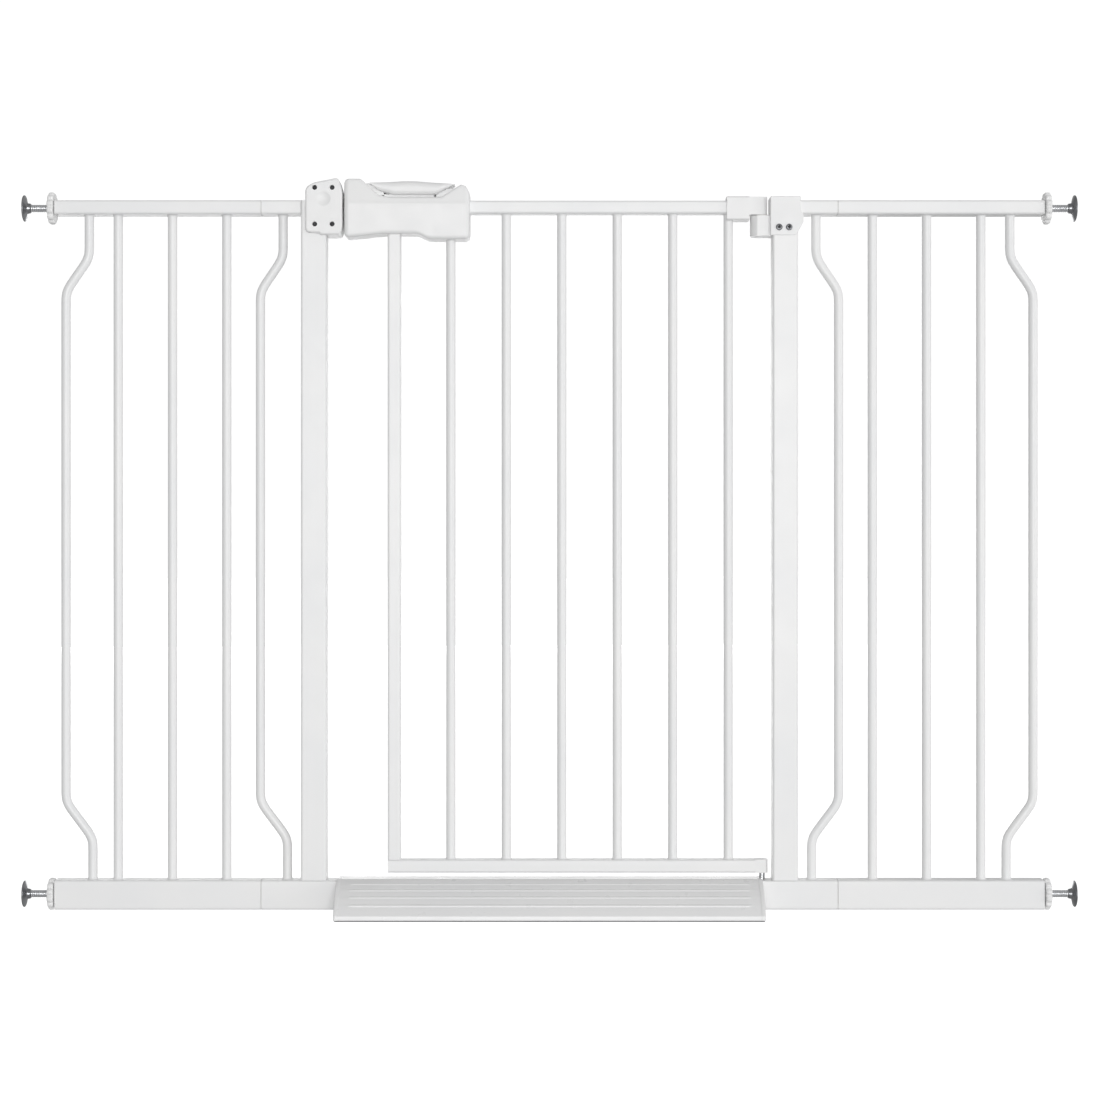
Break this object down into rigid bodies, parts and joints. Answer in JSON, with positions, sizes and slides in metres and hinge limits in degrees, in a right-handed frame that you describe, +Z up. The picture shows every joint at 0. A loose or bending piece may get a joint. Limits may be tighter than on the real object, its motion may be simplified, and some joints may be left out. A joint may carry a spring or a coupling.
{
  "type": "walk-through pet gate",
  "caption": "White tube-frame pet gate with a swinging, lift-off door, slide latch, threshold ramp and screw-out wall spindles.",
  "frame": {"origin": "on the floor under the middle of the gate, the centre of its box", "axes": "+X along the width towards the hinge side, -Y the front, +Z up"},
  "size_m": [1.1344, 0.115, 0.7907],
  "materials": {
    "white_paint": "satin white powder coat",
    "white_plastic": "satin white moulded plastic",
    "ramp_plastic": "pale grey-white moulded plastic",
    "zinc": "bright zinc plated",
    "nylon": "natural nylon",
    "rubber": "soft grey rubber",
    "black_screw": "black oxide"
  },
  "bodies": {
    "frame": {"base_bottom_rail": "white_paint", "base_left_s_bar": "white_paint", "base_left_top_stub": "white_paint", "base_left_upright": "white_paint", "base_right_s_bar": "white_paint", "base_right_top_stub": "white_paint", "base_right_upright": "white_paint", "hinge_bracket": "white_plastic", "hinge_bracket_screws": "zinc", "joint_inserts": "nylon", "joint_screws": "zinc", "keeper_front": "white_plastic", "keeper_rear": "white_plastic", "keeper_screws": "black_screw", "left_extension_bars": "white_paint", "left_extension_bottom_rail": "white_paint", "left_extension_s_bar": "white_paint", "left_extension_top_rail": "white_paint", "lower_pivot_bush": "nylon", "rail_end_plugs": "white_plastic", "ramp_cover": "ramp_plastic", "ramp_end_caps": "ramp_plastic", "ramp_grip_strips": "rubber", "right_extension_bars": "white_paint", "right_extension_bottom_rail": "white_paint", "right_extension_s_bar": "white_paint", "right_extension_top_rail": "white_paint", "upper_pivot_bush": "nylon"},
    "pivot_pins": {"upper_pivot_pin": "zinc", "lower_pivot_pin": "zinc"},
    "door": {"door_top_rail": "white_paint", "door_bottom_rail": "white_paint", "door_latch_upright": "white_paint", "door_bars": "white_paint", "door_pivot_plug": "white_plastic", "door_corner_cap": "white_plastic", "hinge_sleeve": "white_plastic", "handle_front": "white_plastic", "handle_rear": "white_plastic", "handle_screws": "zinc"},
    "latch": {"thumb_slider": "white_plastic", "latch_bolt": "black_screw", "latch_spring": "zinc"},
    "spindle_left_top": {"spindle_left_top": "zinc", "wall_pad_left_top": "rubber"},
    "wheel_left_top": {"wheel_left_top": "white_plastic"},
    "spindle_left_bottom": {"spindle_left_bottom": "zinc", "wall_pad_left_bottom": "rubber"},
    "wheel_left_bottom": {"wheel_left_bottom": "white_plastic"},
    "spindle_right_top": {"spindle_right_top": "zinc", "wall_pad_right_top": "rubber"},
    "wheel_right_top": {"wheel_right_top": "white_plastic"},
    "spindle_right_bottom": {"spindle_right_bottom": "zinc", "wall_pad_right_bottom": "rubber"},
    "wheel_right_bottom": {"wheel_right_bottom": "white_plastic"}
  },
  "joints": [
    {"name": "door_swing", "type": "hinge", "parent": "frame", "child": "pivot_pins", "pos_m": [0.229, 0, 0], "axis": [0, 0, 1], "range_deg": [-90, 90]},
    {"name": "door_lift", "type": "slide", "parent": "pivot_pins", "child": "door", "axis": [0, 0, 1], "range_m": [0, 0.008]},
    {"name": "latch_slide", "type": "slide", "parent": "door", "child": "latch", "axis": [1, 0, 0], "range_m": [-0.0045, 0.007], "stiffness_N_per_m": 150, "springref_m": -0.0045, "deforming": ["latch_spring"]},
    {"name": "wheel_left_top_turn", "type": "hinge", "parent": "frame", "child": "wheel_left_top", "pos_m": [-0.536, 0, 0.7605], "axis": [-1, 0, 0], "range_deg": [-3610, 2170]},
    {"name": "spindle_left_top_travel", "type": "slide", "parent": "frame", "child": "spindle_left_top", "axis": [-1, 0, 0], "range_m": [-0.012, 0.02]},
    {"name": "wheel_left_bottom_turn", "type": "hinge", "parent": "frame", "child": "wheel_left_bottom", "pos_m": [-0.536, 0, 0.02175], "axis": [-1, 0, 0], "range_deg": [-3610, 2170]},
    {"name": "spindle_left_bottom_travel", "type": "slide", "parent": "frame", "child": "spindle_left_bottom", "axis": [-1, 0, 0], "range_m": [-0.012, 0.02]},
    {"name": "wheel_right_top_turn", "type": "hinge", "parent": "frame", "child": "wheel_right_top", "pos_m": [0.536, 0, 0.7605], "axis": [1, 0, 0], "range_deg": [-3610, 2170]},
    {"name": "spindle_right_top_travel", "type": "slide", "parent": "frame", "child": "spindle_right_top", "axis": [1, 0, 0], "range_m": [-0.012, 0.02]},
    {"name": "wheel_right_bottom_turn", "type": "hinge", "parent": "frame", "child": "wheel_right_bottom", "pos_m": [0.536, 0, 0.02175], "axis": [1, 0, 0], "range_deg": [-3610, 2170]},
    {"name": "spindle_right_bottom_travel", "type": "slide", "parent": "frame", "child": "spindle_right_bottom", "axis": [1, 0, 0], "range_m": [-0.012, 0.02]}
  ],
  "couplings": [
    {"joint": "wheel_left_top_turn", "follows": "spindle_left_top_travel", "rad_per_m": -3144.7},
    {"joint": "wheel_left_bottom_turn", "follows": "spindle_left_bottom_travel", "rad_per_m": -3144.7},
    {"joint": "wheel_right_top_turn", "follows": "spindle_right_top_travel", "rad_per_m": -3144.7},
    {"joint": "wheel_right_bottom_turn", "follows": "spindle_right_bottom_travel", "rad_per_m": -3144.7}
  ]
}
